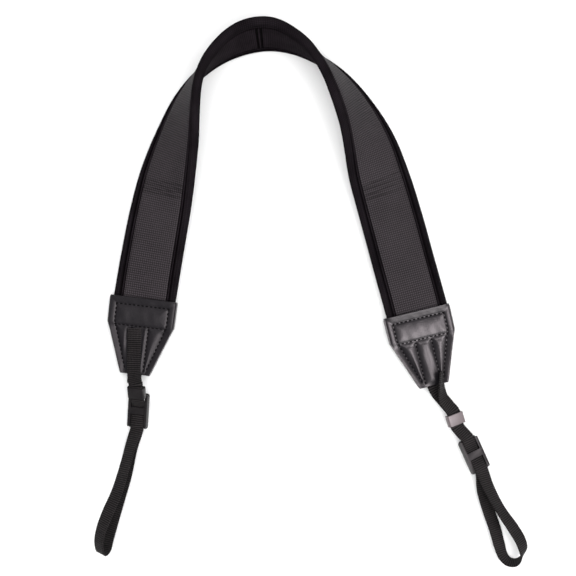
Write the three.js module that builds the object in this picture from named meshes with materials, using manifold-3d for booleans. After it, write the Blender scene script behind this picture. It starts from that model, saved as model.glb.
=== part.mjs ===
// A camera neck strap lying on a table, in millimetres.
// X runs across the strap, Y from the camera loops to the arch, Z up from the table.
// The padded band rolls on its outer edge, from nearly flat legs up to an arch that stands and leans outwards.
// Each leg ends in a sewn leather cap. Webbing runs from the cap through a keeper and a three-bar slider,
// round a camera loop and back to a free tail.
import * as THREE from 'three';
import { mergeVertices } from 'three/addons/utils/BufferGeometryUtils.js';
import Module from 'manifold-3d';

const wasm = await Module();
wasm.setup();

// Driving dimensions
const gap = 0.3;
const band = { width: 45, thickness: 7.5, steps: 46, endSteps: 2 };
const binding = { wall: 1.2, cover: 4.8 };
const panel = { width: 31, thickness: 1, crown: 0.5 };
const pinch = { length: 18, atCap: 0.52, atEnd: 0.45 };
const cap = { padDepth: 18, padWidth: 0.95, leather: 1, turn: { left: 3, right: -2 }, shift: { left: -0.4, right: -0.8 } };
const webbing = { width: 9.8, thickness: 1, steps: 84 };
const layer = webbing.thickness + 0.4;
const keeper = { length: 8, width: 12.8, depth: 5.2, wall: 1, round: 1.2, straight: 1.7 };
const slider = { length: 25.5, width: 14.8, depth: 4, rail: 2, endBar: 2.6, bar: 5, barDepth: 1.2, round: 2 };
const table = { press: 0.3, reach: 500 };
const rest = { x: -0.3, y: 2.3, z: -table.press };

// The round of the outer edge on the table, from the left cap to the right one, and the band's roll about it
const bandRows = [
  { x: -137.4, y: -2.4, roll: 5 },
  { x: -132.8, y: 24, roll: 8 },
  { x: -126, y: 58, roll: 14 },
  { x: -118.4, y: 86, roll: 26 },
  { x: -108, y: 112, roll: 43 },
  { x: -94.4, y: 138, roll: 65 },
  { x: -79.6, y: 156, roll: 85 },
  { x: -63, y: 167.6, roll: 99 },
  { x: -46, y: 174, roll: 109 },
  { x: -29, y: 176.4, roll: 109 },
  { x: -12, y: 174, roll: 99 },
  { x: 4, y: 167.4, roll: 87 },
  { x: 22.6, y: 154.6, roll: 70 },
  { x: 41, y: 134.6, roll: 52 },
  { x: 55.8, y: 112, roll: 32 },
  { x: 66.6, y: 86, roll: 16 },
  { x: 76.2, y: 56, roll: 8 },
  { x: 84.8, y: 25, roll: 6 },
  { x: 94.4, y: -9.4, roll: 5 },
];

// One row for each cross section of a cap's leather sheets: how far down the cap, half width, half the space
// between the sheets, how far that space spreads from the middle, and the space left at the rim
const capRows = [
  { down: -0.6, half: 23.8, space: 2.4, spread: 18.75, rim: 1.2 },
  { down: 1.2, half: 24.4, space: 2.4, spread: 18.75, rim: 0.2 },
  { down: 10, half: 24.3, space: 2.3, spread: 18.75, rim: 0.2 },
  { down: 18.5, half: 24.1, space: 2.2, spread: 18.75, rim: 0.2 },
  { down: 23, half: 22.2, space: 0.85, spread: 5.3, rim: 0.2 },
  { down: 38, half: 16.6, space: 0.85, spread: 5.3, rim: 0.2 },
  { down: 52.5, half: 11.3, space: 0.85, spread: 5.3, rim: 0.2 },
  { down: 54.2, half: 10.4, space: 0.85, spread: 5.3, rim: 0.25 },
];
const rimWidth = 0.8;

// Places of the hard pieces: heading from straight down the table, roll about the strap, pitch of the upper end.
// The webbing lies in a slider up to the named share of its half length, and is lifted out of it above that.
const hardware = {
  left: {
    lies: 0.5,
    keeper: { x: -124.2, y: -71.8, z: 12.7, heading: -5, roll: -19, pitch: 25 },
    slider: { x: -123.5, y: -85.4, z: 6, heading: -5, roll: -20, pitch: 4 },
  },
  right: {
    lies: 1,
    keeper: { x: 103.7, y: -91.5, z: 6, heading: 20, roll: 20, pitch: 8 },
    slider: { x: 117.2, y: -117, z: 5.9, heading: 24, roll: 22, pitch: 0 },
  },
};

// The webbing's rows: a point in the named frame and the strip's width direction, its turn in plan and its tilt.
// Lead-outs run from the cap's mouth to the keeper, loops from the slider's back layer round to its front layer,
// and tails from the keeper's front layer to the free end.
const leads = {
  left: [{ at: 'cap', x: 0, y: -59, z: 1.6, turn: 0, tilt: 4 }],
  right: [{ at: 'cap', x: 1, y: -59, z: 0.2, turn: 2, tilt: -4 }],
};
const loops = {
  left: [
    { at: 'table', x: -128.4, y: -112.5, z: 4.8, turn: -14, tilt: 29 },
    { at: 'table', x: -132, y: -130.5, z: 4.2, turn: -15, tilt: 33 },
    { at: 'table', x: -136.2, y: -148.5, z: 3.8, turn: -16, tilt: 34 },
    { at: 'table', x: -139.8, y: -164.3, z: 3.8, turn: -17, tilt: 34 },
    { at: 'table', x: -143.6, y: -177, z: 4.4, turn: -19, tilt: 36 },
    { at: 'table', x: -147, y: -184.2, z: 6.6, turn: -20, tilt: 39 },
    { at: 'table', x: -150, y: -186.2, z: 10.2, turn: -20, tilt: 43 },
    { at: 'table', x: -151.2, y: -179.8, z: 14, turn: -18, tilt: 46 },
    { at: 'table', x: -149.2, y: -169.6, z: 16.4, turn: -19, tilt: 40 },
    { at: 'table', x: -144.8, y: -158.2, z: 17, turn: -21, tilt: 33 },
    { at: 'table', x: -138, y: -142.4, z: 15.2, turn: -21, tilt: 36 },
    { at: 'table', x: -132.1, y: -122.8, z: 11.8, turn: -18, tilt: 40 },
    { at: 'table', x: -128, y: -107.7, z: 9.2, turn: -13, tilt: 36 },
  ],
  right: [
    { at: 'table', x: 123.6, y: -141.6, z: 4, turn: 18, tilt: -22 },
    { at: 'table', x: 128.1, y: -157.7, z: 3.2, turn: 17, tilt: -25 },
    { at: 'table', x: 132.5, y: -170.6, z: 3.2, turn: 18, tilt: -27 },
    { at: 'table', x: 135.4, y: -181.4, z: 3.5, turn: 21, tilt: -31 },
    { at: 'table', x: 138.2, y: -189.8, z: 4.2, turn: 32, tilt: -42 },
    { at: 'table', x: 142.1, y: -193.8, z: 5, turn: 52, tilt: -52 },
    { at: 'table', x: 147.3, y: -194.2, z: 6.4, turn: 66, tilt: -57 },
    { at: 'table', x: 151.2, y: -190.2, z: 8.8, turn: 58, tilt: -52 },
    { at: 'table', x: 152, y: -185, z: 11.2, turn: 42, tilt: -40 },
    { at: 'table', x: 149.8, y: -178, z: 13, turn: 29, tilt: -35 },
    { at: 'table', x: 144.2, y: -168.6, z: 14, turn: 27, tilt: -34 },
    { at: 'table', x: 138.2, y: -160, z: 13.6, turn: 31, tilt: -40 },
    { at: 'table', x: 133.6, y: -152.6, z: 12.6, turn: 32, tilt: -43 },
    { at: 'table', x: 126.6, y: -138.7, z: 9.4, turn: 27, tilt: -33 },
  ],
};
const tails = {
  left: [
    { at: 'cap', x: -0.5, y: -52, z: 3.9, turn: 0, tilt: 0 },
    { at: 'cap', x: -2.2, y: -36, z: 3.3, turn: 4, tilt: 0 },
    { at: 'cap', x: -3.8, y: -21.5, z: 3.5, turn: 6, tilt: 0 },
  ],
  right: [
    { at: 'table', x: 95.7, y: -78.1, z: 9.2, turn: 20, tilt: -38 },
    { at: 'table', x: 94.1, y: -72.4, z: 10.6, turn: 19, tilt: -54 },
    { at: 'table', x: 93.5, y: -66.6, z: 11.6, turn: 16, tilt: -66 },
    { at: 'table', x: 93.4, y: -57.6, z: 12.2, turn: 14, tilt: -76 },
  ],
};

const bandRound = band.thickness / 2;
const bandFlat = band.width / 2 - bandRound;
const coreRound = bandRound - binding.wall - gap;
const lip = band.width / 2 - binding.cover;

const materials = {
  blackCloth: new THREE.MeshStandardMaterial({ color: 0x1b1b1c, roughness: 0.95, metalness: 0 }),
  greyWeave: new THREE.MeshStandardMaterial({ color: 0x4d4a48, roughness: 0.9, metalness: 0 }),
  leather: new THREE.MeshStandardMaterial({ color: 0x1a1a1b, roughness: 0.45, metalness: 0 }),
  webbing: new THREE.MeshStandardMaterial({ color: 0x1d1d1f, roughness: 0.8, metalness: 0 }),
  plastic: new THREE.MeshStandardMaterial({ color: 0x222223, roughness: 0.4, metalness: 0 }),
};

const vector = (x, y, z) => new THREE.Vector3(x, y, z);
const radians = THREE.MathUtils.degToRad;
const curveThrough = (points, kind) => new THREE.CatmullRomCurve3(points, false, kind);

// A closed outline carried through stations, each with a centre, an across and a normal direction
function sweep(outline, stations) {
  const positions = [];
  for (const s of stations) {
    for (const p of outline) {
      const point = s.centre.clone().addScaledVector(s.across, p.x).addScaledVector(s.normal, p.y * s.loft);
      positions.push(point.x, point.y, point.z);
    }
  }
  const n = outline.length;
  const index = [];
  for (let i = 0; i + 1 < stations.length; i++) {
    for (let k = 0; k < n; k++) {
      const next = (k + 1) % n;
      const a = i * n + k;
      const b = i * n + next;
      if (outline[k].x < outline[next].x) index.push(a, b, b + n, a, b + n, a + n);
      else index.push(a, b, a + n, b, b + n, a + n);
    }
  }
  const last = (stations.length - 1) * n;
  for (const [a, b, c] of THREE.ShapeUtils.triangulateShape(outline, [])) {
    index.push(a, c, b, last + a, last + b, last + c);
  }
  return closedGeometry(positions, index);
}

// Faces turned outwards, whichever way the outline ran
function closedGeometry(positions, index) {
  const geometry = new THREE.BufferGeometry();
  geometry.setAttribute('position', new THREE.Float32BufferAttribute(positions, 3));
  geometry.setIndex(signedVolume(positions, index) < 0 ? index.slice().reverse() : index);
  geometry.computeVertexNormals();
  return geometry;
}

function signedVolume(positions, index) {
  const corner = (i) => vector(...positions.slice(3 * i, 3 * i + 3));
  let volume = 0;
  for (let i = 0; i < index.length; i += 3) {
    volume += corner(index[i]).dot(corner(index[i + 1]).cross(corner(index[i + 2])));
  }
  return volume;
}

function solidOf(geometry) {
  const bare = geometry.clone();
  bare.deleteAttribute('normal');
  bare.deleteAttribute('uv');
  const merged = mergeVertices(bare, 1e-4);
  const triVerts = new Uint32Array(merged.index.array);
  const vertProperties = merged.attributes.position.array;
  return new wasm.Manifold(new wasm.Mesh({ numProp: 3, vertProperties, triVerts }));
}

function geometryOf(solid) {
  const { vertProperties, triVerts } = solid.getMesh();
  const geometry = new THREE.BufferGeometry();
  geometry.setAttribute('position', new THREE.Float32BufferAttribute(vertProperties, 3));
  geometry.setIndex([...triVerts]);
  return geometry;
}

// What lies on the table is pressed flat against it
function pressed(geometry) {
  const slab = new THREE.BoxGeometry(table.reach, table.reach, table.reach);
  slab.translate(0, 0, table.press - table.reach / 2);
  return geometryOf(solidOf(geometry).subtract(solidOf(slab)));
}

const join = (pieces) => geometryOf(pieces.map(solidOf).reduce((whole, piece) => whole.add(piece)));

function mesh(name, geometry, material) {
  const made = new THREE.Mesh(geometry, material);
  made.name = name;
  return made;
}

// Band stations: the outer round stays on the table and the section rolls about it
function bandStations() {
  const line = curveThrough(bandRows.map((r) => vector(r.x, r.y, bandRound)), 'centripetal');
  const rolls = curveThrough(bandRows.map((r) => vector(radians(r.roll), 0, 0)), 'catmullrom');
  const length = line.getLength();
  const stations = [];
  for (let i = 0; i <= band.steps; i++) {
    const t = line.getUtoTmapping(i / band.steps);
    const heading = line.getTangent(t);
    const inward = vector(heading.y, -heading.x, 0);
    const roll = rolls.getPoint(t).x;
    const across = inward.clone().multiplyScalar(Math.cos(roll)).setZ(Math.sin(roll));
    const normal = inward.clone().multiplyScalar(-Math.sin(roll)).setZ(Math.cos(roll));
    const fromCap = Math.min(i, band.steps - i) * (length / band.steps);
    const loft = THREE.MathUtils.lerp(pinch.atCap, 1, THREE.MathUtils.smoothstep(fromCap, 0, pinch.length));
    const centre = line.getPoint(t).addScaledVector(across, bandFlat);
    stations.push({ centre, across, normal, heading, loft });
  }
  return stations;
}

// A cap's frame at the end of the visible band: x across, y towards the arch, z out of the face
function capFrame(station, side, name) {
  const frame = new THREE.Group();
  const x = station.across.clone().multiplyScalar(side);
  const y = station.heading.clone().multiplyScalar(side);
  frame.matrixAutoUpdate = false;
  frame.matrix.makeBasis(x, y, station.normal).setPosition(station.centre);
  frame.matrix.multiply(new THREE.Matrix4().makeTranslation(cap.shift[name], 0, 0));
  frame.matrix.multiply(new THREE.Matrix4().makeRotationZ(radians(cap.turn[name])));
  return frame;
}

// The band's hidden end, straight inside the cap and pinched thinner
function endStations(frame, side) {
  const stations = [];
  for (let i = 1; i <= band.endSteps; i++) {
    const share = i / band.endSteps;
    const width = THREE.MathUtils.lerp(1, cap.padWidth, share);
    stations.push({
      centre: vector(0, -cap.padDepth * share, 0).applyMatrix4(frame.matrix),
      across: vector(side, 0, 0).transformDirection(frame.matrix).multiplyScalar(width),
      normal: vector(0, 0, 1).transformDirection(frame.matrix),
      loft: THREE.MathUtils.lerp(pinch.atCap, pinch.atEnd, share),
    });
  }
  return stations;
}

const crownAt = (x) => coreRound + panel.crown * (1 - (x / bandFlat) ** 2);

function crownLine(half, lift) {
  const steps = [-1, -0.5, 0, 0.5, 1];
  return steps.map((share) => new THREE.Vector2(half * share, crownAt(half * share) + lift));
}

function coreOutline() {
  const shape = new THREE.Shape();
  shape.absarc(-bandFlat, 0, coreRound, Math.PI / 2, 1.5 * Math.PI);
  shape.absarc(bandFlat, 0, coreRound, -Math.PI / 2, Math.PI / 2);
  return [...shape.getPoints(3), ...crownLine(panel.width / 2, 0).reverse()];
}

function panelOutline() {
  const under = crownLine(panel.width / 2, gap);
  const over = crownLine(panel.width / 2, gap + panel.thickness);
  return [...under, ...over.reverse()];
}

function bindingOutline(side) {
  const inner = bandRound - binding.wall;
  const shape = new THREE.Shape();
  shape.moveTo(lip, -bandRound);
  shape.absarc(bandFlat, 0, bandRound, -Math.PI / 2, Math.PI / 2, false);
  shape.lineTo(lip, bandRound);
  shape.lineTo(lip, inner);
  shape.absarc(bandFlat, 0, inner, Math.PI / 2, -Math.PI / 2, true);
  shape.lineTo(lip, -inner);
  const points = shape.getPoints(3).map((p) => new THREE.Vector2(p.x * side, p.y));
  return side < 0 ? points.reverse() : points;
}

function makeBand(stations) {
  return [
    mesh('pad_body', sweep(coreOutline(), stations), materials.blackCloth),
    mesh('face_panel', sweep(panelOutline(), stations), materials.greyWeave),
    mesh('binding_outer', pressed(sweep(bindingOutline(-1), stations)), materials.blackCloth),
    mesh('binding_inner', sweep(bindingOutline(1), stations), materials.blackCloth),
  ];
}

// Points across one row of a leather sheet: distance from the middle and half the space under the sheet
function sheetRow(row) {
  const fade = row.half - rimWidth - row.spread;
  const across = [0, row.spread * 0.6, row.spread];
  for (const share of [0.5, 0.8, 1]) across.push(row.spread + fade * share);
  across.push(row.half);
  const profile = across.map((x) => {
    const share = THREE.MathUtils.clamp((x - row.spread) / fade, 0, 1);
    return { x, z: row.rim + (row.space - row.rim) * Math.sqrt(1 - share ** 2) };
  });
  const mirrored = profile.slice(1).reverse().map((p) => ({ x: -p.x, z: p.z }));
  return [...mirrored, ...profile];
}

function leatherSheet(face) {
  const rows = capRows.map((row) => ({ down: row.down, points: sheetRow(row) }));
  const columns = rows[0].points.length;
  const positions = [];
  for (const lift of [0, cap.leather]) {
    for (const row of rows) {
      for (const p of row.points) positions.push(p.x, -row.down, face * (p.z + lift));
    }
  }
  const over = rows.length * columns;
  const index = [];
  const quad = (a, b, c, d) => index.push(a, b, c, a, c, d);
  for (let i = 0; i + 1 < rows.length; i++) {
    for (let k = 0; k + 1 < columns; k++) {
      const a = i * columns + k;
      quad(a, a + columns, a + columns + 1, a + 1);
      quad(over + a, over + a + 1, over + a + columns + 1, over + a + columns);
    }
  }
  const border = [];
  for (let k = 0; k < columns; k++) border.push(k);
  for (let i = 1; i < rows.length; i++) border.push(i * columns + columns - 1);
  for (let k = columns - 2; k >= 0; k--) border.push((rows.length - 1) * columns + k);
  for (let i = rows.length - 2; i > 0; i--) border.push(i * columns);
  border.forEach((a, i) => {
    const b = border[(i + 1) % border.length];
    quad(a, b, over + b, over + a);
  });
  return closedGeometry(positions, index);
}

function roundedRectangle(width, height, round) {
  const x = width / 2 - round;
  const y = height / 2 - round;
  const shape = new THREE.Shape();
  shape.absarc(x, y, round, 0, Math.PI / 2);
  shape.absarc(-x, y, round, Math.PI / 2, Math.PI);
  shape.absarc(-x, -y, round, Math.PI, 1.5 * Math.PI);
  shape.absarc(x, -y, round, 1.5 * Math.PI, 2 * Math.PI);
  return shape;
}

// A flat plastic ring, open along the strap
function keeperGeometry() {
  const shape = roundedRectangle(keeper.width, keeper.depth, keeper.round);
  const inner = keeper.round - keeper.wall / 2;
  shape.holes.push(roundedRectangle(keeper.width - 2 * keeper.wall, keeper.depth - 2 * keeper.wall, inner));
  const geometry = new THREE.ExtrudeGeometry(shape, { depth: keeper.length, bevelEnabled: false, curveSegments: 3 });
  return geometry.translate(0, 0, -keeper.length / 2).rotateX(Math.PI / 2);
}

// Two full-height rails, low end bars that the webbing runs over, and a high middle bar that it runs under
function sliderGeometry() {
  const bottom = -slider.depth / 2;
  const frame = roundedRectangle(slider.width, slider.length, slider.round);
  const opening = roundedRectangle(slider.width - 2 * slider.rail, slider.length - 2 * slider.endBar, slider.round / 4);
  frame.holes.push(opening);
  const flat = { depth: slider.barDepth, bevelEnabled: false, curveSegments: 3 };
  const plate = new THREE.ExtrudeGeometry(frame, flat).translate(0, 0, bottom);
  const railShape = roundedRectangle(slider.rail, slider.length - slider.round, slider.rail / 2 - 0.05);
  const railCentre = (slider.width - slider.rail) / 2;
  const rails = [-railCentre, railCentre].map((x) => {
    const tall = { depth: slider.depth, bevelEnabled: false, curveSegments: 3 };
    return new THREE.ExtrudeGeometry(railShape, tall).translate(x, 0, bottom);
  });
  const bar = new THREE.BoxGeometry(slider.width - slider.rail, slider.bar, slider.barDepth);
  bar.translate(0, 0, (slider.depth - slider.barDepth) / 2);
  return join([plate, ...rails, bar]);
}

function placed(place) {
  const frame = new THREE.Group();
  frame.position.set(place.x, place.y, place.z);
  frame.rotation.set(radians(place.pitch), radians(place.roll), radians(place.heading), 'ZYX');
  frame.updateMatrix();
  return frame;
}

// The webbing's way through the slider on one layer: over the end bars and under the middle bar
function sliderRows(lift, direction, lies) {
  const overBar = -slider.depth / 2 + slider.barDepth + gap + webbing.thickness / 2;
  const underBar = slider.depth / 2 - slider.barDepth - gap - webbing.thickness / 2 - layer;
  const end = slider.length / 2;
  const rows = [
    { y: end, z: overBar },
    { y: end - slider.endBar, z: overBar },
    { y: slider.bar * 0.55, z: underBar },
    { y: -slider.bar * 0.55, z: underBar },
    { y: slider.endBar - end, z: overBar },
    { y: -end, z: overBar },
  ];
  const kept = rows.filter((row) => row.y <= end * lies);
  const ordered = direction > 0 ? kept : kept.reverse();
  return ordered.map((row) => ({ at: 'slider', x: 0, y: row.y, z: row.z + lift, turn: 0, tilt: 0 }));
}

function keeperRows(lift, direction) {
  const reach = keeper.length / 2 + keeper.straight;
  const rows = [reach, reach / 3, -reach / 3, -reach].map((y) => y * direction);
  return rows.map((y) => ({ at: 'keeper', x: 0, y, z: lift, turn: 0, tilt: 0 }));
}

function webbingRows(name) {
  const { lies } = hardware[name];
  const sewn = [-23.5, -40, -53].map((y) => ({ at: 'cap', x: 0, y, z: 0, turn: 0, tilt: 0 }));
  return [
    ...sewn,
    ...leads[name],
    ...keeperRows(-layer / 2, 1),
    ...sliderRows(0, 1, lies),
    ...loops[name],
    ...sliderRows(layer, -1, lies),
    ...keeperRows(layer / 2, -1),
    ...tails[name],
  ];
}

function webbingGeometry(name, frames) {
  const rows = webbingRows(name);
  const points = rows.map((row) => vector(row.x, row.y, row.z).applyMatrix4(frames[row.at].matrix));
  const widths = rows.map((row) => {
    const turn = radians(row.turn);
    const tilt = radians(row.tilt);
    const flat = vector(Math.cos(turn) * Math.cos(tilt), Math.sin(turn) * Math.cos(tilt), Math.sin(tilt));
    return flat.transformDirection(frames[row.at].matrix);
  });
  const line = curveThrough(points, 'centripetal');
  const widthLine = curveThrough(widths, 'catmullrom');
  const stations = [];
  for (let i = 0; i <= webbing.steps; i++) {
    const t = line.getUtoTmapping(i / webbing.steps);
    const along = line.getTangent(t);
    const across = widthLine.getPoint(t);
    across.addScaledVector(along, -across.dot(along)).normalize();
    const normal = along.clone().cross(across);
    stations.push({ centre: line.getPoint(t), across, normal, loft: 1 });
  }
  const x = webbing.width / 2;
  const y = webbing.thickness / 2;
  const outline = [[-x, -y], [x, -y], [x, y], [-x, y]].map((p) => new THREE.Vector2(...p));
  return sweep(outline, stations);
}

function makeEnd(name, frame) {
  const group = new THREE.Group();
  const frames = {
    table: new THREE.Group(),
    cap: frame,
    keeper: placed(hardware[name].keeper),
    slider: placed(hardware[name].slider),
  };
  frame.add(mesh(`${name}_cap_front`, leatherSheet(1), materials.leather));
  frame.add(mesh(`${name}_cap_back`, leatherSheet(-1), materials.leather));
  frames.keeper.add(mesh(`${name}_keeper`, keeperGeometry(), materials.plastic));
  frames.slider.add(mesh(`${name}_slider`, sliderGeometry(), materials.plastic));
  frames.table.add(mesh(`${name}_webbing`, webbingGeometry(name, frames), materials.webbing));
  group.add(...Object.values(frames));
  return group;
}

const visible = bandStations();
const leftFrame = capFrame(visible[0], 1, 'left');
const rightFrame = capFrame(visible.at(-1), -1, 'right');
const stations = [...endStations(leftFrame, 1).reverse(), ...visible, ...endStations(rightFrame, -1)];

const strap = new THREE.Group();
strap.add(...makeBand(stations));
strap.add(makeEnd('left', leftFrame));
strap.add(makeEnd('right', rightFrame));
strap.position.set(rest.x, rest.y, rest.z);

export default strap;
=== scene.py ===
import math
import bmesh
import bpy
import numpy as np
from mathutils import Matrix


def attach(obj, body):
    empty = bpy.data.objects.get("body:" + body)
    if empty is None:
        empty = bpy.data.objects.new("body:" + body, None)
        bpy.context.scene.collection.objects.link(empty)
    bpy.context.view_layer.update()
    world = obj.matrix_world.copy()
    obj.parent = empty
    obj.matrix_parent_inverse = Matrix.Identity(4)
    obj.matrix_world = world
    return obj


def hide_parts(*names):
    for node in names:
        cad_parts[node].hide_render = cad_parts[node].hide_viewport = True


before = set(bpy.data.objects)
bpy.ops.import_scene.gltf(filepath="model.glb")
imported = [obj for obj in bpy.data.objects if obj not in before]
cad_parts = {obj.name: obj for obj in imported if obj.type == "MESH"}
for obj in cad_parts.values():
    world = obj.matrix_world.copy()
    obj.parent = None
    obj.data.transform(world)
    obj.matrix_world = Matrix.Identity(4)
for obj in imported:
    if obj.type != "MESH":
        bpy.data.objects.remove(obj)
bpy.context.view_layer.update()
mm = 0.001
gap = 0.3
lie = np.array((-0.3, 2.3, -0.3))  # where the strap lies, from the tables' own zero

# Sizes in millimetres, the same as the solids'
band = {"width": 45, "thickness": 7.5, "step": 1.1, "seamStep": 0.3}
binding = {"wall": 1.2, "cover": 4.8, "pucker": 0.1, "lipRound": 0.5}
panel = {"width": 31, "thickness": 1, "crown": 0.5, "edgeDrop": 0.55, "crease": 0.3, "creaseShade": 0.8}
pinch = {"length": 18, "atCap": 0.52, "atEnd": 0.45}
pad = {
    "bulge": 1.1, "seamAt": 15.4, "seamDepth": 0.6, "crossDepth": 0.9, "crossApart": 1.5, "crossOff": 7,
}
cap = {"padDepth": 18, "padWidth": 0.95, "leather": 1, "columns": 110, "rows": 84, "edgeRound": 0.55}
capTurn = {"left": 3, "right": -2}
capShift = {"left": -0.4, "right": -0.8}
webbing = {"width": 9.8, "thickness": 1, "layerGap": 0.4, "sewnAt": (-23.5, -40, -53), "stations": 760}
keeper = {"length": 8, "straight": 1.7}
slider = {"length": 25.5, "depth": 4, "endBar": 2.6, "bar": 5, "barDepth": 1.2, "barPass": 0.55}
layer = webbing["thickness"] + webbing["layerGap"]

bandRound = band["thickness"] / 2
bandFlat = band["width"] / 2 - bandRound
coreRound = bandRound - binding["wall"] - gap
lip = band["width"] / 2 - binding["cover"]

# x, y and roll of the outer edge's round, from the left cap to the right one
bandRows = [
    (-137.4, -2.4, 5), (-132.8, 24, 8), (-126, 58, 14), (-118.4, 86, 26), (-108, 112, 43),
    (-94.4, 138, 65), (-79.6, 156, 85), (-63, 167.6, 99), (-46, 174, 109), (-29, 176.4, 109),
    (-12, 174, 99), (4, 167.4, 87), (22.6, 154.6, 70), (41, 134.6, 52), (55.8, 112, 32),
    (66.6, 86, 16), (76.2, 56, 8), (84.8, 25, 6), (94.4, -9.4, 5),
]

# down the cap, half width, half the space inside, how far it spreads, space at the rim
capRows = [
    (-0.6, 23.8, 2.4, 18.75, 1.2), (1.2, 24.4, 2.4, 18.75, 0.2), (10, 24.3, 2.3, 18.75, 0.2),
    (18.5, 24.1, 2.2, 18.75, 0.2), (23, 22.2, 0.85, 5.3, 0.2), (38, 16.6, 0.85, 5.3, 0.2),
    (52.5, 11.3, 0.85, 5.3, 0.2), (54.2, 10.4, 0.85, 5.3, 0.25),
]
rimWidth = 0.8

# x, y, z, heading, roll and pitch of the hard pieces, and how far up the slider the webbing lies in it
hardware = {
    "left": {
        "lies": 0.5, "keeper": (-124.2, -71.8, 12.7, -5, -19, 25), "slider": (-123.5, -85.4, 6, -5, -20, 4),
    },
    "right": {
        "lies": 1, "keeper": (103.7, -91.5, 6, 20, 20, 8), "slider": (117.2, -117, 5.9, 24, 22, 0),
    },
}

# The webbing's rows: x, y, z, turn of its width in plan, tilt
leads = {"left": [(0, -59, 1.6, 0, 4)], "right": [(1, -59, 0.2, 2, -4)]}
loops = {
    "left": [
        (-128.4, -112.5, 4.8, -14, 29), (-132, -130.5, 4.2, -15, 33), (-137, -148.5, 3.8, -16, 34),
        (-141.6, -164.3, 3.8, -17, 34), (-145, -177, 4.4, -19, 36), (-147.2, -185.2, 6.6, -20, 39),
        (-149.8, -187.1, 10.2, -20, 43), (-151.2, -179.8, 14, -18, 46), (-149.2, -169.6, 16.4, -19, 40),
        (-144.8, -158.2, 17, -21, 33), (-138, -142.4, 15.2, -21, 36), (-132.1, -122.8, 11.8, -18, 40),
        (-128, -107.7, 9.2, -13, 36),
    ],
    "right": [
        (123.6, -141.6, 4, 18, -22), (128.1, -157.7, 3.2, 17, -25), (132.5, -170.6, 3.2, 18, -27),
        (135.4, -181.4, 3.5, 21, -31), (138.2, -189.8, 4.2, 32, -42), (142.1, -193.8, 5, 52, -52),
        (147.3, -194.2, 6.4, 66, -57), (151.2, -190.2, 8.8, 58, -52), (152, -185, 11.2, 42, -40),
        (149.8, -178, 13, 29, -35), (144.2, -168.6, 14, 27, -34), (138.2, -160, 13.6, 31, -40),
        (133.6, -152.6, 12.6, 32, -43), (126.6, -138.7, 9.4, 27, -33),
    ],
}
tails = {
    "left": [(-0.5, -52, 4.2, 0, 0), (-2.2, -36, 3.8, 4, 0), (-3.8, -21.5, 4, 6, 0)],
    "right": [
        (95.7, -78.1, 9.2, 20, -38), (94.1, -72.4, 10.6, 19, -54), (93.5, -66.6, 11.6, 16, -66),
        (93.4, -57.6, 12.2, 14, -76),
    ],
}
tailFrame = {"left": "cap", "right": "table"}

scene = bpy.context.scene
scene.view_settings.view_transform = "Standard"


# Splines through rows, evenly measured along their length
def splineAt(rows, ts, centripetal):
    rows = np.asarray(rows, float)
    ends = np.vstack((2 * rows[0] - rows[1], rows, 2 * rows[-1] - rows[-2]))
    place = np.clip(ts, 0, 1) * (len(rows) - 1)
    index = np.minimum(place.astype(int), len(rows) - 2)
    w = (place - index)[:, None]
    p0, p1, p2, p3 = (ends[index + k] for k in range(4))
    if centripetal:
        pairs = ((p0, p1), (p1, p2), (p2, p3))
        d0, d1, d2 = (np.sum((b - a) ** 2, 1)[:, None] ** 0.25 for a, b in pairs)
        m1 = ((p1 - p0) / d0 - (p2 - p0) / (d0 + d1) + (p2 - p1) / d1) * d1
        m2 = ((p2 - p1) / d1 - (p3 - p1) / (d1 + d2) + (p3 - p2) / d2) * d1
    else:
        m1 = (p2 - p0) / 2
        m2 = (p3 - p1) / 2
    w2 = w * w
    w3 = w2 * w
    fromStart = (2 * w3 - 3 * w2 + 1) * p1 + (w3 - 2 * w2 + w) * m1
    return fromStart + (3 * w2 - 2 * w3) * p2 + (w3 - w2) * m2


def measured(rows):
    ts = np.linspace(0, 1, 8001)
    points = splineAt(rows, ts, True)
    lengths = np.concatenate(((0,), np.cumsum(np.linalg.norm(np.diff(points, axis=0), axis=1))))
    return ts, lengths


def tangentAt(rows, ts):
    step = 1e-4
    after = splineAt(rows, np.clip(ts + step, 0, 1), True)
    before = splineAt(rows, np.clip(ts - step, 0, 1), True)
    ahead = after - before
    return ahead / np.linalg.norm(ahead, axis=1)[:, None]


def smooth(x, low, high):
    t = np.clip((x - low) / (high - low), 0, 1)
    return t * t * (3 - 2 * t)


def bell(x, width):
    return np.exp(-((x / width) ** 2))


def unit(v):
    return v / np.linalg.norm(v, axis=-1, keepdims=True)


# Meshes: rings of points become a closed skin with a map in millimetres along and around it
def closedSkin(name, rings, along, material, sharp=40, seam=None):
    count, around = rings.shape[:2]
    sides = np.linalg.norm(np.roll(rings[count // 2], -1, 0) - rings[count // 2], axis=1)
    across = np.concatenate(((0,), np.cumsum(sides)))
    faces = []
    corners = []
    for i in range(count - 1):
        for k in range(around):
            n = (k + 1) % around
            faces.append((i * around + k, i * around + n, (i + 1) * around + n, (i + 1) * around + k))
            corners += [(along[i], across[k]), (along[i], across[k + 1])]
            corners += [(along[i + 1], across[k + 1]), (along[i + 1], across[k])]
    faces.append(tuple(range(around - 1, -1, -1)))
    faces.append(tuple(range((count - 1) * around, count * around)))
    corners += [(along[0], 0)] * around + [(along[-1], 0)] * around
    piece = skinMesh(name, rings.reshape(-1, 3), faces, corners, material, sharp)
    # the values become a point attribute that the cloth finishes use to darken their colour: painted shade
    # along seam grooves, creases and the bindings' lips, and on hidden faces
    if seam is not None:
        shade = piece.data.attributes.new("seam", "FLOAT", "POINT")
        shade.data.foreach_set("value", np.clip(seam, 0, 1).astype(np.float32).ravel())
    return piece


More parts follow.
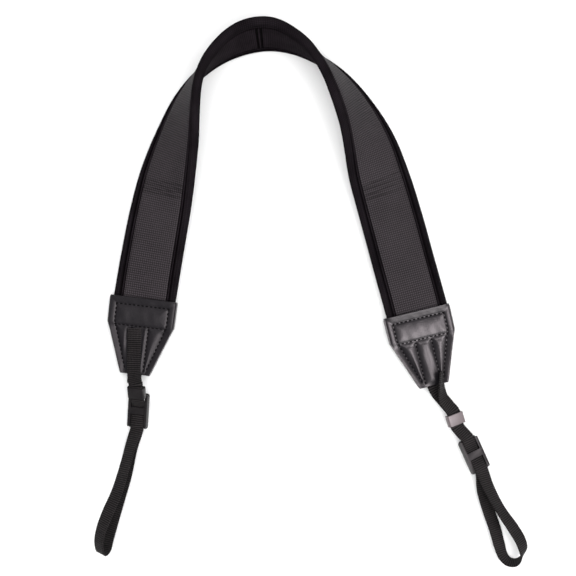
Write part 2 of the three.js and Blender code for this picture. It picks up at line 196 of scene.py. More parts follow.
def skinMesh(name, points, faces, corners, material, sharp=40):
    points = (points + lie) * mm
    points[:, 2] = np.maximum(points[:, 2], 0)  # pressed flat where it meets the floor
    mesh = bpy.data.meshes.new(name)
    mesh.from_pydata(points.tolist(), [], faces)
    layerMap = mesh.uv_layers.new(name="strapMap")
    layerMap.data.foreach_set("uv", np.asarray(corners, np.float32).ravel())
    if signedVolume(mesh) < 0:
        mesh.flip_normals()
    mesh.polygons.foreach_set("use_smooth", [True] * len(mesh.polygons))
    mesh.set_sharp_from_angle(angle=math.radians(sharp))
    mesh.materials.append(material)
    piece = bpy.data.objects.new(name, mesh)
    scene.collection.objects.link(piece)
    return piece


def signedVolume(mesh):
    mesh.calc_loop_triangles()
    points = np.empty(len(mesh.vertices) * 3)
    mesh.vertices.foreach_get("co", points)
    index = np.empty(len(mesh.loop_triangles) * 3, int)
    mesh.loop_triangles.foreach_get("vertices", index)
    a, b, c = points.reshape(-1, 3)[index.reshape(-1, 3)].transpose(1, 0, 2)
    return float(np.sum(a * np.cross(b, c)))


def settle(piece, slotName, *nodes):
    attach(piece, "root")
    if nodes:
        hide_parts(*nodes)


# Materials
class Finish:
    def __init__(self, name, roughness, specular=0.5):
        self.material = bpy.data.materials.new(name)
        self.material.use_nodes = True
        self.tree = self.material.node_tree
        self.shader = self.tree.nodes["Principled BSDF"]
        self.shader.inputs["Roughness"].default_value = roughness
        self.shader.inputs["Specular IOR Level"].default_value = specular

    def add(self, kind, **settings):
        node = self.tree.nodes.new(kind)
        for key, value in settings.items():
            setattr(node, key, value)
        return node

    def feed(self, value, socket):
        if isinstance(value, bpy.types.NodeSocket):
            self.tree.links.new(value, socket)
        else:
            socket.default_value = value

    def math(self, operation, *values):
        node = self.add("ShaderNodeMath", operation=operation)
        for value, socket in zip(values, node.inputs):
            self.feed(value, socket)
        return node.outputs[0]

    def place(self):
        return self.add("ShaderNodeTexCoord").outputs["Object"]

    def strapMap(self):
        split = self.add("ShaderNodeSeparateXYZ")
        self.feed(self.add("ShaderNodeUVMap", uv_map="strapMap").outputs[0], split.inputs[0])
        return split.outputs[0], split.outputs[1]

    def noise(self, scale, detail=3, roughness=0.55, vector=None):
        node = self.add("ShaderNodeTexNoise")
        self.feed(vector if vector is not None else self.place(), node.inputs["Vector"])
        node.inputs["Scale"].default_value = scale
        node.inputs["Detail"].default_value = detail
        node.inputs["Roughness"].default_value = roughness
        return node.outputs["Fac"]

    def cells(self, scale, feature="F1"):
        node = self.add("ShaderNodeTexVoronoi", feature=feature)
        self.feed(self.place(), node.inputs["Vector"])
        node.inputs["Scale"].default_value = scale
        return node.outputs["Distance"]

    def wave(self, value, pitch, shift=0):
        turned = self.math("MULTIPLY_ADD", value, 2 * math.pi / pitch, shift)
        return self.math("MULTIPLY_ADD", self.math("SINE", turned), 0.5, 0.5)

    def ramp(self, value, low, high, start=0.0, end=1.0):
        node = self.add("ShaderNodeValToRGB")
        self.feed(value, node.inputs[0])
        node.color_ramp.elements[0].position = start
        node.color_ramp.elements[1].position = end
        node.color_ramp.elements[0].color = (*low, 1)
        node.color_ramp.elements[1].color = (*high, 1)
        return node.outputs[0]

    def colour(self, value):
        self.feed(value, self.shader.inputs["Base Color"])

    def rough(self, value, low, high):
        node = self.add("ShaderNodeMapRange")
        self.feed(value, node.inputs["Value"])
        node.inputs["To Min"].default_value = low
        node.inputs["To Max"].default_value = high
        self.feed(node.outputs[0], self.shader.inputs["Roughness"])

    def bump(self, height, distance, strength=1.0, under=None):
        node = self.add("ShaderNodeBump")
        self.feed(height, node.inputs["Height"])
        node.inputs["Strength"].default_value = strength
        node.inputs["Distance"].default_value = distance
        if under is not None:
            self.feed(under, node.inputs["Normal"])
        self.feed(node.outputs[0], self.shader.inputs["Normal"])
        return node.outputs[0]


def clothFinish(name, low, high, pitch):
    f = Finish(name, 0.95, 0.02)
    u, v = f.strapMap()
    weave = f.math("MULTIPLY", f.wave(u, pitch), f.wave(v, pitch))
    patches = f.noise(60)
    tone = f.math("MULTIPLY_ADD", weave, 0.45, f.math("MULTIPLY", patches, 0.55))
    # darker where the mesh's point attribute says: painted shade in the pad's seam grooves, on its hidden
    # faces and along the bindings' lips
    seam = f.add("ShaderNodeAttribute", attribute_name="seam").outputs["Fac"]
    f.colour(f.ramp(f.math("MULTIPLY_ADD", seam, -0.9, tone), low, high, 0.15, 0.85))
    f.bump(f.math("ADD", weave, f.math("MULTIPLY", patches, 0.4)), 0.00012, 0.7)
    return f.material


def panelFinish():
    f = Finish("greyPanelWeave", 0.85, 0.2)
    u, v = f.strapMap()
    # raised squares with dark gaps between them, in rows along and across
    squares = f.math("MULTIPLY", f.wave(u, 1.62), f.wave(v, 1.5))
    raised = f.math("POWER", squares, 0.6)
    patches = f.noise(35, 4)
    tone = f.math("MULTIPLY_ADD", raised, 0.75, f.math("MULTIPLY", patches, 0.3))
    # darker where the mesh's point attribute says: painted shade in the panel's creases
    seam = f.add("ShaderNodeAttribute", attribute_name="seam").outputs["Fac"]
    shade = f.math("MULTIPLY_ADD", seam, -0.5, tone)
    f.colour(f.ramp(shade, (0.005, 0.0041, 0.0047), (0.051, 0.0425, 0.0485), 0.12, 0.95))
    f.shader.inputs["Sheen Weight"].default_value = 0.03
    f.bump(raised, 0.0003, 0.8)
    return f.material


def leatherFinish(name, smoothest, dullest, specular):
    f = Finish(name, smoothest, specular)
    grain = f.cells(1500)
    mottle = f.noise(90, 4)
    tone = f.math("MULTIPLY_ADD", grain, 0.4, f.math("MULTIPLY", mottle, 0.6))
    f.colour(f.ramp(tone, (0.005, 0.0044, 0.0056), (0.0115, 0.0102, 0.0124), 0.2, 0.8))
    f.rough(mottle, smoothest, dullest)
    fine = f.bump(grain, 0.00012, 0.45)
    f.bump(f.noise(160, 3), 0.0005, 0.25, fine)
    return f.material


def webbingFinish():
    f = Finish("blackRibWebbing", 0.75, 0.1)
    u, v = f.strapMap()
    ribs = f.wave(u, 1.5)
    threads = f.wave(v, 1.1)
    patches = f.noise(70)
    ribTone = f.math("MULTIPLY", ribs, f.math("MULTIPLY_ADD", threads, 0.4, 0.6))
    tone = f.math("MULTIPLY_ADD", ribTone, 0.65, f.math("MULTIPLY", patches, 0.4))
    f.colour(f.ramp(tone, (0.0008, 0.0007, 0.0008), (0.03, 0.0262, 0.0268), 0.28, 0.84))
    f.shader.inputs["Sheen Weight"].default_value = 0.03
    f.bump(f.math("MULTIPLY_ADD", threads, 0.35, ribs), 0.0003, 0.8)
    return f.material


def plasticFinish(name, low, high, roughness, specular=0.5):
    f = Finish(name, roughness, specular)
    mottle = f.noise(240, 3)
    f.colour(f.ramp(mottle, low, high, 0.3, 0.7))
    f.rough(mottle, roughness - 0.06, roughness + 0.08)
    f.bump(f.noise(2600, 2), 0.00003, 0.4)
    return f.material


def threadFinish():
    f = Finish("darkThread", 1.0, 0.02)
    f.colour(f.ramp(f.noise(900), (0.002, 0.0018, 0.002), (0.008, 0.0075, 0.008)))
    f.bump(f.noise(3500, 2), 0.00004, 0.6)
    return f.material


looks = {
    "binding": clothFinish("blackBinding", (0.0028, 0.0021, 0.0027), (0.0178, 0.0142, 0.0173), 1.3),
    "padCloth": clothFinish("blackPadCloth", (0.002, 0.0014, 0.0019), (0.0262, 0.02, 0.025), 1.3),
    "edging": clothFinish("blackEdging", (0.004, 0.003, 0.0038), (0.027, 0.0216, 0.0262), 1.3),
    "panel": panelFinish(),
    "leftLeather": leatherFinish("blackLeatherLeft", 0.45, 0.6, 0.3),
    "rightLeather": leatherFinish("blackLeatherRight", 0.36, 0.5, 0.5),
    "webbing": webbingFinish(),
    "blackPlastic": plasticFinish("blackPlastic", (0.008, 0.007, 0.0076), (0.0125, 0.011, 0.0118), 0.42, 0.3),
    "greyPlastic": plasticFinish("greyPlastic", (0.095, 0.075, 0.079), (0.122, 0.098, 0.102), 0.42),
    "cutEdge": plasticFinish("leatherCutEdge", (0.016, 0.0135, 0.0145), (0.03, 0.026, 0.0275), 0.3),
    "thread": threadFinish(),
}
print("finishes made")


# Camera straight above the strap
camera = {"height": 1400, "x": -16.5, "y": 4.82, "view": 414.72}
lens = bpy.data.cameras.new("camera")
lens.sensor_width = 36
lens.lens = lens.sensor_width * camera["height"] / camera["view"]
eye = bpy.data.objects.new("camera", lens)
eye.location = (camera["x"] * mm, camera["y"] * mm, camera["height"] * mm)
scene.collection.objects.link(eye)
scene.camera = eye


# The band's frames along its length, with the pinched ends hidden in the caps
bandLine = [(x, y, bandRound) for x, y, roll in bandRows]
bandTs, bandLengths = measured(bandLine)
bandLength = bandLengths[-1]
crest = float(np.interp(9 / (len(bandRows) - 1), bandTs, bandLengths))
crossSeam = crest - pad["crossOff"]


def bandFrames(s):
    ts = np.interp(s, bandLengths, bandTs)
    centre = splineAt(bandLine, ts, True)
    heading = tangentAt(bandLine, ts)
    roll = splineAt([(math.radians(row[2]),) for row in bandRows], ts, False)
    inward = np.stack((heading[:, 1], -heading[:, 0], np.zeros(len(ts))), 1)
    up = np.array((0, 0, 1.0))
    across = inward * np.cos(roll) + up * np.sin(roll)
    normal = up * np.cos(roll) - inward * np.sin(roll)
    fromCap = np.minimum(s, bandLength - s)
    loft = pinch["atCap"] + (1 - pinch["atCap"]) * smooth(fromCap, 0, pinch["length"])
    return centre + across * bandFlat, across, normal, heading, loft


def capMatrix(name):
    side = 1 if name == "left" else -1
    centre, across, normal, heading, loft = bandFrames(np.array((0.0 if side > 0 else bandLength,)))
    turn = math.radians(capTurn[name])
    x = across[0] * side
    y = heading[0] * side
    made = np.eye(4)
    made[:3, 0] = x * math.cos(turn) + y * math.sin(turn)
    made[:3, 1] = y * math.cos(turn) - x * math.sin(turn)
    made[:3, 2] = normal[0]
    made[:3, 3] = centre[0] + x * capShift[name]
    return made


def placed(place):
    x, y, z, heading, roll, pitch = place
    a, b, c = (math.radians(v) for v in (pitch, roll, heading))
    turnX = np.array(((1, 0, 0), (0, math.cos(a), -math.sin(a)), (0, math.sin(a), math.cos(a))))
    turnY = np.array(((math.cos(b), 0, math.sin(b)), (0, 1, 0), (-math.sin(b), 0, math.cos(b))))
    turnZ = np.array(((math.cos(c), -math.sin(c), 0), (math.sin(c), math.cos(c), 0), (0, 0, 1)))
    made = np.eye(4)
    made[:3, :3] = turnZ @ turnY @ turnX
    made[:3, 3] = (x, y, z)
    return made


def moved(matrix, points):
    return np.asarray(points, float) @ matrix[:3, :3].T + matrix[:3, 3]


capFrames = {name: capMatrix(name) for name in ("left", "right")}


def bandStations():
    even = np.linspace(0, bandLength, int(bandLength / band["step"]) + 1)
    fine = np.arange(crossSeam - 5, crossSeam + 5, band["seamStep"])
    s = np.unique(np.concatenate((even, fine)).round(3))
    visible = bandFrames(s)
    downs = np.linspace(0, cap["padDepth"], 7)[1:]
    share = (downs / cap["padDepth"])[:, None]
    parts = []
    for name, side in (("left", 1), ("right", -1)):
        m = capFrames[name]
        centre = moved(m, np.stack((0 * downs, -downs, 0 * downs), 1))
        across = m[:3, 0] * side * (1 + (cap["padWidth"] - 1) * share)
        normal = np.repeat(m[None, :3, 2], len(downs), 0)
        loft = pinch["atCap"] + (pinch["atEnd"] - pinch["atCap"]) * share
        parts.append((centre, across, normal, loft))
    left, right = parts
    keep = (visible[0], visible[1], visible[2], visible[4][:, None])
    stacked = [np.concatenate((a[::-1], b, c)) for a, b, c in zip(left, keep, right)]
    where = np.concatenate((-downs[::-1], s, bandLength + downs))
    return where, stacked


where, (bandCentre, bandAcross, bandNormal, bandLoft) = bandStations()


def bandRings(x, z):
    # x and z of each outline point at each station, shape (stations, points)
    lift = z * bandLoft
    return (bandCentre[:, None] + bandAcross[:, None] * x[..., None] + bandNormal[:, None] * lift[..., None])


def outlineAll(x, z):
    count = len(where)
    return np.repeat(np.asarray(x)[None], count, 0), np.repeat(np.asarray(z)[None], count, 0)


def crownAt(x):
    return coreRound + panel["crown"] * (1 - (x / bandFlat) ** 2)


# The pad: a foam core in black cloth, quilted along its borders and sewn across at the crest
def makePad():
    half = bandFlat
    low = np.linspace(-half, half, 91)
    bulge = pad["bulge"] * (1 - smooth(np.abs(low), lip - 1, lip + 0.6))
    seam = pad["seamDepth"] * (bell(low - pad["seamAt"], 0.55) + bell(low + pad["seamAt"], 0.55))
    turn = np.linspace(-math.pi / 2, math.pi / 2, 7)[1:-1]
    high = np.linspace(half, -half, 21)
    turnX = coreRound * np.cos(turn)
    turnZ = coreRound * np.sin(turn)
    x = np.concatenate((low, half + turnX, high, -half - turnX))
    z = np.concatenate((-coreRound - bulge + seam, turnZ, crownAt(high), -turnZ))
    x, z = outlineAll(x, z)
    z = z.copy()
    cross = sum(bell(where - crossSeam - k * pad["crossApart"], 0.6) for k in (-1, 1))
    inside = 1 - smooth(np.abs(low), pad["seamAt"] - 1, pad["seamAt"])
    z[:, :len(low)] += pad["crossDepth"] * cross[:, None] * inside
    # painted shade: darker colour in the seam grooves across the crest and along the borders, and full dark
    # on the faces hidden under the panel and bindings
    dark = np.zeros(z.shape)
    dark[:, :len(low)] = cross[:, None] * inside + bell(np.abs(low) - pad["seamAt"], 0.5)
    dark[:, len(low):] = 1
    piece = closedSkin("pad", bandRings(x, z), where, looks["padCloth"], seam=dark)
    settle(piece, "black_cloth", "pad_body")


creaseRows = [  # y on the leg, which leg, slant of the crease across the panel
    {"y": 82.5, "leg": "left", "slant": 1.6}, {"y": 79.6, "leg": "left", "slant": 1.2},
    {"y": 76.8, "leg": "left", "slant": 1.8}, {"y": 73.8, "leg": "left", "slant": 1.2},
    {"y": 86, "leg": "right", "slant": 1}, {"y": 82.8, "leg": "right", "slant": 0.4},
    {"y": 79.2, "leg": "right", "slant": 1.2}, {"y": 75.5, "leg": "right", "slant": 0.5},
]


def creaseAt(y, leg):
    ys = splineAt(bandLine, bandTs, True)[:, 1]
    side = bandLengths < crest if leg == "left" else bandLengths > crest
    return float(bandLengths[side][np.argmin(np.abs(ys[side] - y))])


# The grey panel on the outer face, with the few creases that cross it
def makePanel():
    half = panel["width"] / 2 - 0.2
    top = np.linspace(half, -half, 41)
    under = np.linspace(-half, half, 21)
    drop = panel["edgeDrop"] * np.abs(top / half) ** 14
    x = np.concatenate((under, top))
    z = np.concatenate((crownAt(under) + 0.12, crownAt(top) + gap + panel["thickness"] - drop))
    x, z = outlineAll(x, z)
    z = z.copy()
    dark = np.zeros(z.shape)
    for row in creaseRows:
        line = where[:, None] - creaseAt(row["y"], row["leg"]) - row["slant"] * top / half
        z[:, len(under):] -= panel["crease"] * bell(line, 0.7)
        # painted shade in each crease, a little stronger towards one edge of the panel
        dark[:, len(under):] += panel["creaseShade"] * bell(line, 0.5) * (0.7 + 0.3 * top / half)
    piece = closedSkin("facePanel", bandRings(x, z), where, looks["panel"], seam=dark)
    settle(piece, "grey_weave", "face_panel")


# Bindings: folded tape round both edges, puckered a little by its stitches
def makeBinding(name, side, node):
    outer = np.linspace(-math.pi / 2, math.pi / 2, 25)
    inner = bandRound - binding["wall"]
    r = binding["lipRound"]
    lipX = np.array((lip + 2.2, lip + 1, lip + 0.15, lip, lip + 0.15))
    lipZ = np.array((bandRound, bandRound, bandRound - 0.2, bandRound - r, inner + 0.15))
    wallX = bandFlat + inner * np.cos(outer[::-3])
    wallZ = inner * np.sin(outer[::-3])
    x = np.concatenate((bandFlat + bandRound * np.cos(outer), lipX, wallX, lipX[::-1]))
    z = np.concatenate((bandRound * np.sin(outer), lipZ, wallZ, -lipZ[::-1]))
    x, z = outlineAll(x * side, z)
    wavy = np.sin(where * 0.9) * np.sin(where * 0.23 + side) + 0.5 * np.sin(where * 2.1 + 2 * side)
    # painted shade: darker colour along the binding's turned-under lip, where it tucks against the pad and
    # panel
    dark = 1 - smooth(np.abs(x), lip + 0.15, lip + 0.75)
    swell = 1 + binding["pucker"] * 0.25 * wavy[:, None] / bandRound
    piece = closedSkin(name, bandRings(x, z * swell), where, looks["binding"], seam=dark)
    settle(piece, "black_cloth", node)


# A narrow strip of binding cloth on each side of the panel
edging = {"at": 16.55, "half": 0.5, "low": 0.25, "high": 1.35}


def makeEdging(name, side):
    steps = np.linspace(-1, 1, 7)
    x = side * edging["at"] + edging["half"] * np.concatenate((steps, steps[::-1]))
    under = crownAt(np.full(7, edging["at"])) + edging["low"]
    over = under + (edging["high"] - edging["low"]) * (1 - 0.5 * np.abs(steps) ** 3)
    x, z = outlineAll(x, np.concatenate((under, over)))
    settle(closedSkin(name, bandRings(x, z), where, looks["edging"]), "black_cloth")


makePad()
makePanel()
makeEdging("outerEdging", -1)
makeEdging("innerEdging", 1)
makeBinding("outerBinding", -1, "binding_outer")
makeBinding("innerBinding", 1, "binding_inner")
print("band made")


# Stitches: short rounded threads laid along paths by a node tree
stitch = {"length": 2.1, "pitch": 2.9, "thick": 0.95, "lift": 0.2}


def stitchShape():
    mesh = bpy.data.meshes.new("stitchShape")
    shape = bmesh.new()
    bmesh.ops.create_uvsphere(shape, u_segments=8, v_segments=5, radius=0.5)
    for vertex in shape.verts:
        x, y, z = vertex.co
        vertex.co = (z * stitch["length"] * mm, x * stitch["thick"] * mm, y * stitch["thick"] * mm)
    bmesh.ops.recalc_face_normals(shape, faces=shape.faces)
    shape.to_mesh(mesh)
    shape.free()
    mesh.polygons.foreach_set("use_smooth", [True] * len(mesh.polygons))
    made = bpy.data.objects.new("stitchShape", mesh)
    scene.collection.objects.link(made)
    return made


def stitchTree(shape):
    tree = bpy.data.node_groups.new("stitchesAlongPath", "GeometryNodeTree")
    face = tree.interface
    face.new_socket("Path", in_out="INPUT", socket_type="NodeSocketGeometry")
    face.new_socket("Pitch", in_out="INPUT", socket_type="NodeSocketFloat")
    face.new_socket("Thread", in_out="INPUT", socket_type="NodeSocketMaterial")
    face.new_socket("Stitches", in_out="OUTPUT", socket_type="NodeSocketGeometry")
    nodes = tree.nodes
    start = nodes.new("NodeGroupInput")
    end = nodes.new("NodeGroupOutput")
    curve = nodes.new("GeometryNodeMeshToCurve")
    even = nodes.new("GeometryNodeResampleCurve")
    even.mode = "LENGTH"
    tangent = nodes.new("GeometryNodeInputTangent")
    turn = nodes.new("FunctionNodeAlignRotationToVector")
    turn.axis = "X"
    copies = nodes.new("GeometryNodeInstanceOnPoints")
    thread = nodes.new("GeometryNodeObjectInfo")
    thread.inputs["Object"].default_value = shape
    solid = nodes.new("GeometryNodeRealizeInstances")
    paint = nodes.new("GeometryNodeSetMaterial")
    link = tree.links.new
    link(start.outputs["Path"], curve.inputs["Mesh"])
    link(curve.outputs["Curve"], even.inputs["Curve"])
    link(start.outputs["Pitch"], even.inputs["Length"])
    link(even.outputs["Curve"], copies.inputs["Points"])
    link(thread.outputs["Geometry"], copies.inputs["Instance"])
    link(tangent.outputs["Tangent"], turn.inputs["Vector"])
    link(turn.outputs["Rotation"], copies.inputs["Rotation"])
    link(copies.outputs["Instances"], solid.inputs["Geometry"])
    link(solid.outputs["Geometry"], paint.inputs["Geometry"])
    link(start.outputs["Thread"], paint.inputs["Material"])
    link(paint.outputs["Geometry"], end.inputs["Stitches"])
    return tree


stitchPattern = stitchShape()
stitchNodes = stitchTree(stitchPattern)


def sew(name, paths, slotName, pitch=stitch["pitch"]):
    points = []
    edges = []
    for path in paths:
        first = len(points)
        points += ((np.asarray(path) + lie) * mm).tolist()
        edges += [(i, i + 1) for i in range(first, len(points) - 1)]
    mesh = bpy.data.meshes.new(name)
    mesh.from_pydata(points, edges, [])
    source = bpy.data.objects.new(name + "Path", mesh)
    scene.collection.objects.link(source)
    modifier = source.modifiers.new("stitches", "NODES")
    modifier.node_group = stitchNodes
    sockets = {item.name: item.identifier for item in stitchNodes.interface.items_tree}
    modifier[sockets["Pitch"]] = pitch * mm
    modifier[sockets["Thread"]] = looks["thread"]
    made = bpy.data.meshes.new_from_object(source.evaluated_get(bpy.context.evaluated_depsgraph_get()))
    made.name = name
    bpy.data.objects.remove(source)
    piece = bpy.data.objects.new(name, made)
    scene.collection.objects.link(piece)
    settle(piece, slotName)
    return piece


# Caps: two leather sheets over the band's end and the webbing, drawn in along their stitch lines
capTable = np.array(capRows)
capEnd = capRows[-1][0]
relief = {
    "lowerPuff": 1.5, "lowerReach": 5, "upperPuff": 0.9, "upperReach": 7,
    "borderRise": 1.9, "groove": 0.28, "wrinkle": 0.08, "underTail": 0.65, "back": 0.5,
}
stitchLines = {
    "top": [(-18.6, 4.9), (18.6, 4.9)],
    "leftSide": [(-18.8, 5.5), (-18.9, 17), (-17.8, 21), (-13.4, 34), (-8.2, 49.5)],
    "rightSide": [(18.8, 5.5), (18.9, 17), (17.8, 21), (13.4, 34), (8.2, 49.5)],
    "cross": [(-18.2, 19.8), (18.2, 19.8)],
    "leftFlank": [(-5.9, 21.5), (-5.7, 51)],
    "rightFlank": [(5.9, 21.5), (5.7, 51)],
}


def lineDistance(x, down, line):
    best = np.full(x.shape, 1e9)
    for (ax, ay), (bx, by) in zip(line, line[1:]):
        length = (bx - ax) ** 2 + (by - ay) ** 2
        t = np.clip(((x - ax) * (bx - ax) + (down - ay) * (by - ay)) / length, 0, 1)
        best = np.minimum(best, np.hypot(x - ax - t * (bx - ax), down - ay - t * (by - ay)))
    return best


def capColumn(down, k):
    return np.interp(down, capTable[:, 0], capTable[:, k])


def capSpace(x, down):
    half = capColumn(down, 1)
    space = capColumn(down, 2)
    spread = capColumn(down, 3)
    fade = np.maximum(half - rimWidth - spread, 0.5)
    share = np.clip((np.abs(x) - spread) / fade, 0, 1)
    return capColumn(down, 4) + (space - capColumn(down, 4)) * np.sqrt(1 - share ** 2)


def capRelief(x, down, name, face):
    # puffed between the stitch lines, its border rising from them to the cut edge, with soft wrinkles
    seed = {"left": 1.3, "right": 4.1}[name] + face
    nearest = np.min([lineDistance(x, down, line) for line in stitchLines.values()], axis=0)
    edge = np.minimum(capColumn(down, 1) - np.abs(x), down - capRows[0][0])
    inset = np.interp(down, (0, 19, 25, 54), (5.4, 5.4, 4.7, 4.2))
    lower = smooth(down, 19, 21)
    height = relief["upperPuff"] + (relief["lowerPuff"] - relief["upperPuff"]) * lower
    reach = relief["upperReach"] + (relief["lowerReach"] - relief["upperReach"]) * lower
    insideBorder = smooth(edge, inset - 0.4, inset + 0.4)
    puff = height * np.sin(math.pi / 2 * np.clip(nearest / reach, 0, 1)) * insideBorder
    puff = puff * smooth(capEnd - down, -1, 5)
    rise = relief["borderRise"] * np.clip(1 - edge / inset, 0, 1)
    crossed = np.sin(x * 0.55 + seed) * np.sin(down * 0.33 + 1.7 * seed)
    wrinkle = crossed + 0.6 * np.sin(x * 0.9 - down * 0.21 + seed)
    total = puff + rise - relief["groove"] * bell(nearest, 0.8)
    total = total + relief["wrinkle"] * wrinkle * smooth(edge, 0, 4)
    if name == "left" and face > 0:
        covered = smooth(x, -11, -8.5) * (1 - smooth(x, 2.2, 4)) * smooth(down, 18, 20)
        total = total * (1 - relief["underTail"] * covered)
    if face < 0:
        total = total * relief["back"]
    cut = cap["edgeRound"]
    rounded = np.clip(cut - np.minimum(edge, capEnd - down), 0, cut)
    return total - (cut - np.sqrt(cut ** 2 - rounded ** 2)) * 0.9


def capTop(x, down, name, face):
    under = capSpace(x, down)
    return under, np.maximum(under + cap["leather"] + capRelief(x, down, name, face), under + 0.12)


def capSheet(name, face):
    even = np.linspace(-1, 1, cap["rows"])
    downs = (0.5 * even + 0.5 * np.sin(even * math.pi / 2)) / 2 + 0.5
    downs = capRows[0][0] + downs * (capEnd - capRows[0][0])
    even = np.linspace(-1, 1, cap["columns"] + 1)
    shares = 0.5 * even + 0.5 * np.sin(even * math.pi / 2)
    down, share = np.meshgrid(downs, shares, indexing="ij")
    x = share * capColumn(down, 1)
    under, over = capTop(x, down, name, face)
    grid = np.stack((x, -down, face * under), -1).reshape(-1, 3)
    top = np.stack((x, -down, face * over), -1).reshape(-1, 3)
    rows, columns = down.shape
    faces = []
    corners = []
    count = rows * columns
    flat = np.stack((x, down), -1).reshape(-1, 2)

    def quad(*ids):
        faces.append(ids)
        corners.extend(flat[i % count] for i in ids)

    for i in range(rows - 1):
        for k in range(columns - 1):
            a = i * columns + k
            quad(a, a + columns, a + columns + 1, a + 1)
            quad(count + a, count + a + 1, count + a + columns + 1, count + a + columns)
    border = list(range(columns))
    border += [i * columns + columns - 1 for i in range(1, rows)]
    border += [(rows - 1) * columns + k for k in range(columns - 2, -1, -1)]
    border += [i * columns for i in range(rows - 2, 0, -1)]
    for i, a in enumerate(border):
        b = border[(i + 1) % len(border)]
        quad(a, b, count + b, count + a)
    points = moved(capFrames[name], np.concatenate((grid, top)))
    words = "Front" if face > 0 else "Back"
    piece = skinMesh(name + "Cap" + words, points, faces, corners, looks[name + "Leather"], 50)
    rim = np.minimum(capColumn(flat[:, 1], 1) - np.abs(flat[:, 0]), capEnd - flat[:, 1]) < cap["edgeRound"]
    piece.data.materials.append(looks["cutEdge"])
    onRim = [int(all(rim[i % count] for i in ids)) for ids in faces]
    piece.data.polygons.foreach_set("material_index", onRim)
    settle(piece, "black_leather", f"{name}_cap_{'front' if face > 0 else 'back'}")
    paths = [capPath(name, face, line) for line in stitchLines.values()]
    sew(piece.name + "Stitches", paths, "black_webbing")


def capPath(name, face, line):
    points = []
    for (ax, ay), (bx, by) in zip(line, line[1:]):
        steps = max(2, int(math.hypot(bx - ax, by - ay) / 0.8))
        points += [(ax + (bx - ax) * k / steps, ay + (by - ay) * k / steps) for k in range(steps)]
    points.append(line[-1])
    x, down = np.array(points, float).T
    lift = capTop(x, down, name, face)[1] + stitch["lift"]
    return moved(capFrames[name], np.stack((x, -down, face * lift), 1))


for end in ("left", "right"):
    for face in (1, -1):
        capSheet(end, face)
print("caps made")


# Webbing from the cap through keeper and slider, round the loop and back to its tail
def sliderRows(lift, direction, lies):
    overBar = -slider["depth"] / 2 + slider["barDepth"] + gap + webbing["thickness"] / 2
    underBar = slider["depth"] / 2 - slider["barDepth"] - gap - webbing["thickness"] / 2 - layer
    end = slider["length"] / 2
    side = slider["bar"] * slider["barPass"]
    inner = end - slider["endBar"]
    rows = [(end, overBar), (inner, overBar), (side, underBar)]
    rows += [(-y, z) for y, z in rows[::-1]]
    rows = [row for row in rows if row[0] <= end * lies][::direction]
    return [("slider", (0, y, z + lift, 0, 0)) for y, z in rows]


def keeperRows(lift, direction):
    reach = (keeper["length"] / 2 + keeper["straight"]) * direction
    return [("keeper", (0, y, lift, 0, 0)) for y in (reach, reach / 3, -reach / 3, -reach)]


def webbingRows(name):
    lies = hardware[name]["lies"]
    rows = [("cap", (0, y, 0, 0, 0)) for y in webbing["sewnAt"]]
    rows += [("cap", row) for row in leads[name]]
    rows += keeperRows(-layer / 2, 1) + sliderRows(0, 1, lies)
    rows += [("table", row) for row in loops[name]]
    rows += sliderRows(layer, -1, lies) + keeperRows(layer / 2, -1)
    return rows + [(tailFrame[name], row) for row in tails[name]]


def makeWebbing(name):
    frames = {"table": np.eye(4), "cap": capFrames[name]}
    frames["keeper"] = placed(hardware[name]["keeper"])
    frames["slider"] = placed(hardware[name]["slider"])
    points = []
    widths = []
    for at, (x, y, z, turn, tilt) in webbingRows(name):
        turn = math.radians(turn)
        tilt = math.radians(tilt)
        points.append(moved(frames[at], (x, y, z)))
        flat = (math.cos(turn) * math.cos(tilt), math.sin(turn) * math.cos(tilt), math.sin(tilt))
        widths.append(frames[at][:3, :3] @ np.array(flat))
    ts, lengths = measured(points)
    along = np.linspace(0, lengths[-1], webbing["stations"])
    t = np.interp(along, lengths, ts)
    centre = splineAt(points, t, True)
    ahead = tangentAt(points, t)
    across = splineAt(widths, t, False)
    across = unit(across - ahead * np.sum(across * ahead, 1)[:, None])
    normal = np.cross(ahead, across)
    w = webbing["width"] / 2
    h = webbing["thickness"] / 2
    steps = np.linspace(-1, 1, 11)
    x = np.concatenate((steps * (w - 0.25), (w, w), -steps * (w - 0.25), (-w, -w)))
    z = np.concatenate((0 * steps - h, (-h * 0.45, h * 0.45), 0 * steps + h, (h * 0.45, -h * 0.45)))
    rings = centre[:, None] + across[:, None] * x[None, :, None] + normal[:, None] * z[None, :, None]
    piece = closedSkin(name + "Webbing", rings, along, looks["webbing"], 60)
    settle(piece, "black_webbing", name + "_webbing")
    print(name, "webbing is", round(float(lengths[-1])), "mm long")


for end in ("left", "right"):
    makeWebbing(end)


# Keepers and sliders: the moulded shapes with softened edges
moulded = {"edge": 0.35, "segments": 3, "sharpFrom": 25}


def makeMoulded(name, node, look):
    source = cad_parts[node]
    mesh = source.data.copy()
    mesh.name = name
    shape = bmesh.new()
    shape.from_mesh(mesh)
    bmesh.ops.remove_doubles(shape, verts=shape.verts, dist=1e-6)
    bmesh.ops.dissolve_limit(shape, angle_limit=math.radians(2), verts=shape.verts, edges=shape.edges)
    sharp = math.radians(moulded["sharpFrom"])
    edges = [e for e in shape.edges if e.is_manifold and e.calc_face_angle() > sharp]
    bmesh.ops.bevel(
        shape, geom=edges, offset=moulded["edge"] * mm, segments=moulded["segments"],
        profile=0.5, affect="EDGES", clamp_overlap=True,
    )
    bmesh.ops.triangulate(shape, faces=shape.faces)
    shape.to_mesh(mesh)
    shape.free()
    mesh.polygons.foreach_set("use_smooth", [True] * len(mesh.polygons))
    mesh.set_sharp_from_angle(angle=math.radians(35))
    mesh.materials.clear()
    mesh.materials.append(look)
    piece = bpy.data.objects.new(name, mesh)
    scene.collection.objects.link(piece)
    settle(piece, "black_plastic", node)


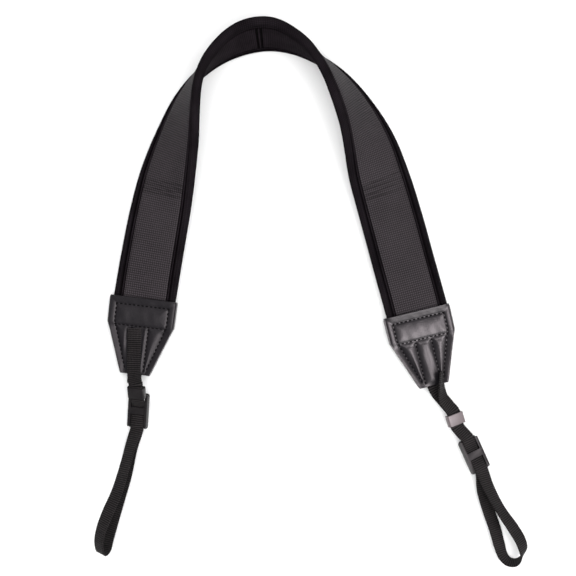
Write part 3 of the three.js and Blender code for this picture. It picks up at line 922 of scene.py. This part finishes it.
makeMoulded("leftKeeper", "left_keeper", looks["blackPlastic"])
makeMoulded("rightKeeper", "right_keeper", looks["greyPlastic"])
makeMoulded("leftSlider", "left_slider", looks["blackPlastic"])
makeMoulded("rightSlider", "right_slider", looks["blackPlastic"])
print("webbing and hard pieces made")


bpy.data.objects.remove(stitchPattern)
print("stitches sewn")


# Floor and light
stage = {"floor": 6, "tone": 0.93}
lights = [  # name, place, size, power, lights cloth and floor, shows in shiny surfaces
    ("skyPanel", (0, 0, 1.75), 3.0, 84, True, False),
    ("keyPanel", (0.75, -0.6, 0.95), 0.6, 5, True, True),
    ("shinePanel", (0.66, -0.2, 1.15), 0.7, 29, False, True),
    ("rimPanel", (-1.0, 0.7, 0.8), 0.8, 3, False, True),
]


def makeFloor():
    half = stage["floor"] / 2
    mesh = bpy.data.meshes.new("floor")
    corners = [(-half, -half, 0), (half, -half, 0), (half, half, 0), (-half, half, 0)]
    mesh.from_pydata(corners, [], [(0, 1, 2, 3)])
    f = Finish("paleFloor", 0.9, 0.1)
    f.colour(f.ramp(f.noise(3), (stage["tone"] - 0.01,) * 3, (stage["tone"] + 0.01,) * 3))
    mesh.materials.append(f.material)
    floor = bpy.data.objects.new("floor", mesh)
    floor.location.z = -0.0002
    scene.collection.objects.link(floor)


def makeLight(name, place, size, power, lightsCloth, shines):
    lamp = bpy.data.lights.new(name, "AREA")
    lamp.size = size
    lamp.energy = power
    lamp.color = (1, 1, 1) if lightsCloth else (1, 0.9, 0.94)
    lit = bpy.data.objects.new(name, lamp)
    lit.location = place
    lit.visible_diffuse = lightsCloth
    lit.visible_glossy = shines
    aim = -lit.location
    lit.rotation_euler = aim.to_track_quat("-Z", "Y").to_euler()
    scene.collection.objects.link(lit)


makeFloor()
for row in lights:
    makeLight(*row)
world = bpy.data.worlds.new("studio")
world.use_nodes = True
world.node_tree.nodes["Background"].inputs["Color"].default_value = (1, 1, 1, 1)
world.node_tree.nodes["Background"].inputs["Strength"].default_value = 0.08
scene.world = world
print("floor and light set")
